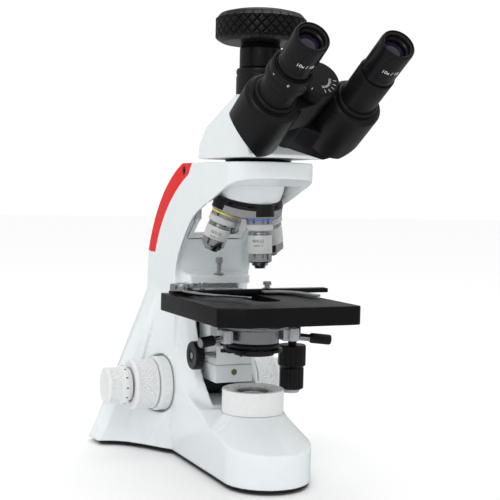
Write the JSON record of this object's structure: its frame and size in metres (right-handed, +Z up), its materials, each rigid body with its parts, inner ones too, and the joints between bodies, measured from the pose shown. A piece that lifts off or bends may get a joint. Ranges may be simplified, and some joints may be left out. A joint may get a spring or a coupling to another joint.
{
  "type": "trinocular microscope",
  "caption": "Upright laboratory microscope with binocular head, disc camera, turning nosepiece, mechanical stage, condenser and coaxial focus knobs.",
  "frame": {"origin": "middle of the outer box on the floor plane, under the microscope", "axes": "+Z up, +Y away from the user, +X to the user's right"},
  "size_m": [0.2, 0.3652, 0.411],
  "materials": {
    "white_paint": "gloss",
    "white_plastic": "satin",
    "red_plastic": "satin",
    "black_plastic": "satin",
    "black_anodised": "satin",
    "grey_casting": "satin",
    "bright_chrome": "polished",
    "turned_steel": "satin",
    "lens_glass": "polished",
    "rubber": "matte",
    "circuit_board": "satin"
  },
  "bodies": {
    "stand": {"base_casting": "white_paint", "arm_casting": "white_paint", "bottom_cover": "black_anodised", "rubber_foot_1": "rubber", "rubber_foot_2": "rubber", "rubber_foot_3": "rubber", "rubber_foot_4": "rubber", "carry_handle": "red_plastic", "collector_ring": "white_plastic", "field_lens": "lens_glass", "lamp_module": "black_anodised", "driver_board": "circuit_board", "power_panel": "black_plastic", "turret_pivot": "black_anodised", "nosepiece_housing": "white_paint", "head_dovetail_ring": "black_anodised"},
    "power_switch": {"power_switch": "black_plastic"},
    "dimmer": {"dimmer_knob": "white_plastic"},
    "coarse_knobs": {"coarse_knob_left": "white_plastic", "coarse_knob_right": "white_plastic", "coarse_pinion_shaft": "turned_steel"},
    "fine_knobs": {"fine_knob_left": "white_plastic", "fine_knob_right": "white_plastic", "fine_shaft": "turned_steel"},
    "tension_ring": {"tension_ring": "white_plastic"},
    "focus_slide": {"focus_slide": "black_anodised"},
    "stage_carrier": {"stage_carrier": "white_paint", "stage_base_plate": "black_anodised"},
    "stage_top": {"stage_top_plate": "black_anodised"},
    "stage_y_knob": {"stage_y_knob": "black_plastic"},
    "stage_x_knob": {"stage_x_knob": "black_plastic"},
    "slide_holder": {"slide_holder": "black_anodised"},
    "spring_finger": {"spring_finger": "bright_chrome"},
    "condenser": {"condenser_bracket": "grey_casting", "condenser_mount": "turned_steel", "condenser_lens": "lens_glass", "iris_ring": "black_anodised"},
    "condenser_knob": {"condenser_knob": "black_plastic"},
    "iris_lever": {"iris_lever": "black_anodised"},
    "filter_holder": {"filter_holder": "black_anodised"},
    "centring_screw_left": {"centring_screw_left": "black_anodised"},
    "centring_screw_right": {"centring_screw_right": "black_anodised"},
    "turret": {"turret_body": "bright_chrome", "objective_40x": "bright_chrome", "objective_100x": "bright_chrome", "objective_4x": "bright_chrome", "objective_10x": "bright_chrome"},
    "stop_screw": {"stop_screw": "bright_chrome"},
    "head_lock_screw": {"head_lock_screw": "bright_chrome"},
    "head": {"head_housing": "white_paint", "beam_splitter": "lens_glass", "ipd_dial": "black_plastic", "trinocular_collar": "black_anodised"},
    "left_wing": {"prism_wing_left": "black_plastic"},
    "right_wing": {"prism_wing_right": "black_plastic"},
    "diopter_ring": {"diopter_ring": "black_plastic"},
    "eyepiece_left": {"eyepiece_left": "black_plastic"},
    "eyepiece_right": {"eyepiece_right": "black_plastic"},
    "camera": {"camera_adapter": "black_anodised", "camera_body": "black_plastic"}
  },
  "joints": [
    {"name": "power_switch_rock", "type": "hinge", "parent": "stand", "child": "power_switch", "pos_m": [0.016, 0.17717, 0.0243], "axis": [1, 0, 0], "range_deg": [0, 12]},
    {"name": "dimmer_turn", "type": "hinge", "parent": "stand", "child": "dimmer", "pos_m": [0.036, 0.06417, 0.026], "axis": [1, 0, 0], "range_deg": [0, 270]},
    {"name": "coarse_focus_turn", "type": "hinge", "parent": "stand", "child": "coarse_knobs", "pos_m": [0, 0.11247, 0.0658], "axis": [-1, 0, 0], "range_deg": [-26.9, 224]},
    {"name": "fine_focus_turn", "type": "hinge", "parent": "stand", "child": "fine_knobs", "pos_m": [0, 0.11247, 0.0658], "axis": [-1, 0, 0], "range_deg": [-901, 901]},
    {"name": "tension_ring_turn", "type": "hinge", "parent": "stand", "child": "tension_ring", "pos_m": [-0.045, 0.11247, 0.0658], "axis": [1, 0, 0], "range_deg": [-60, 60]},
    {"name": "coarse_focus_travel", "type": "slide", "parent": "stand", "child": "focus_slide", "axis": [0, 0, 1], "range_m": [-0.003, 0.025]},
    {"name": "fine_focus_travel", "type": "slide", "parent": "focus_slide", "child": "stage_carrier", "axis": [0, 0, 1], "range_m": [-0.001, 0.001]},
    {"name": "stage_y_travel", "type": "slide", "parent": "stage_carrier", "child": "stage_top", "axis": [0, 1, 0], "range_m": [-0.016, 0.014]},
    {"name": "stage_y_turn", "type": "hinge", "parent": "stage_top", "child": "stage_y_knob", "pos_m": [0.05, 0.01617, 0.107], "axis": [0, 0, 1], "range_deg": [-230, 201]},
    {"name": "slide_x_travel", "type": "slide", "parent": "stage_top", "child": "slide_holder", "axis": [1, 0, 0], "range_m": [-0.032, 0.038]},
    {"name": "slide_x_turn", "type": "hinge", "parent": "stage_top", "child": "stage_x_knob", "pos_m": [0.05, 0.01617, 0.086], "axis": [0, 0, 1], "range_deg": [-287, 341]},
    {"name": "spring_finger_swing", "type": "hinge", "parent": "slide_holder", "child": "spring_finger", "pos_m": [-0.053, 0.03517, 0.163], "axis": [0, 0, 1], "range_deg": [-28, 0], "stiffness_Nm_per_rad": 0.05, "springref_deg": 8.59},
    {"name": "condenser_travel", "type": "slide", "parent": "stage_carrier", "child": "condenser", "axis": [0, 0, 1], "range_m": [-0.012, 0.008]},
    {"name": "condenser_knob_turn", "type": "hinge", "parent": "stage_carrier", "child": "condenser_knob", "pos_m": [-0.036, 0.03867, 0.103], "axis": [1, 0, 0], "range_deg": [-197, 131.5]},
    {"name": "iris_lever_turn", "type": "hinge", "parent": "condenser", "child": "iris_lever", "pos_m": [0, -0.00783, 0.1116], "axis": [0, 0, 1], "range_deg": [-40, 30]},
    {"name": "filter_holder_swing", "type": "hinge", "parent": "condenser", "child": "filter_holder", "pos_m": [-0.0215, 0.00937, 0.106], "axis": [0, 0, 1], "range_deg": [-75, 0]},
    {"name": "centring_screw_right_turn", "type": "hinge", "parent": "condenser", "child": "centring_screw_right", "pos_m": [0.0445, -0.01673, 0.124], "axis": [0.9688, -0.2254, -0.1028], "range_deg": [-180, 180]},
    {"name": "centring_screw_left_turn", "type": "hinge", "parent": "condenser", "child": "centring_screw_left", "pos_m": [-0.0445, -0.01673, 0.124], "axis": [-0.9688, -0.2254, -0.1028], "range_deg": [-180, 180]},
    {"name": "turret_turn", "type": "hinge", "parent": "stand", "child": "turret", "pos_m": [0, -0.00783, 0.3103], "axis": [0, 0.2756, -0.9613], "continuous": true},
    {"name": "stop_screw_travel", "type": "slide", "parent": "stand", "child": "stop_screw", "axis": [0, 0, 1], "range_m": [0, 0.0035]},
    {"name": "head_lock_turn", "type": "hinge", "parent": "stand", "child": "head_lock_screw", "pos_m": [0.045, -0.00783, 0.2705], "axis": [1, 0, 0], "range_deg": [-180, 180]},
    {"name": "head_turn", "type": "hinge", "parent": "stand", "child": "head", "pos_m": [0, -0.00783, 0.281], "axis": [0, 0, 1], "range_deg": [-100, 100]},
    {"name": "left_wing_swing", "type": "hinge", "parent": "head", "child": "left_wing", "pos_m": [0, -0.08141, 0.31849], "axis": [0, -0.8462, 0.5329], "range_deg": [-16.3, 26.5]},
    {"name": "right_wing_swing", "type": "hinge", "parent": "head", "child": "right_wing", "pos_m": [0, -0.08141, 0.31849], "axis": [0, -0.8462, 0.5329], "range_deg": [-26.6, 16.4]},
    {"name": "diopter_turn", "type": "hinge", "parent": "left_wing", "child": "diopter_ring", "pos_m": [-0.0361, -0.13947, 0.34264], "axis": [0, -0.8462, 0.5329], "range_deg": [-120, 120]},
    {"name": "eyepiece_left_turn", "type": "hinge", "parent": "left_wing", "child": "eyepiece_left", "pos_m": [-0.0361, -0.1547, 0.35223], "axis": [0, -0.8462, 0.5329], "continuous": true},
    {"name": "eyepiece_right_turn", "type": "hinge", "parent": "right_wing", "child": "eyepiece_right", "pos_m": [0.0361, -0.1547, 0.35223], "axis": [0, -0.8462, 0.5329], "continuous": true},
    {"name": "camera_turn", "type": "hinge", "parent": "head", "child": "camera", "pos_m": [0, -0.00783, 0.37], "axis": [0, 0, 1], "range_deg": [-180, 180]}
  ],
  "couplings": [
    {"joint": "coarse_focus_turn", "follows": "coarse_focus_travel", "rad_per_m": 156.25},
    {"joint": "fine_focus_turn", "follows": "fine_focus_travel", "rad_per_m": 15708},
    {"joint": "stage_y_turn", "follows": "stage_y_travel", "rad_per_m": 250},
    {"joint": "slide_x_turn", "follows": "slide_x_travel", "rad_per_m": 156.25},
    {"joint": "condenser_knob_turn", "follows": "condenser_travel", "rad_per_m": 285.71},
    {"joint": "right_wing_swing", "follows": "left_wing_swing", "ratio": -1}
  ]
}
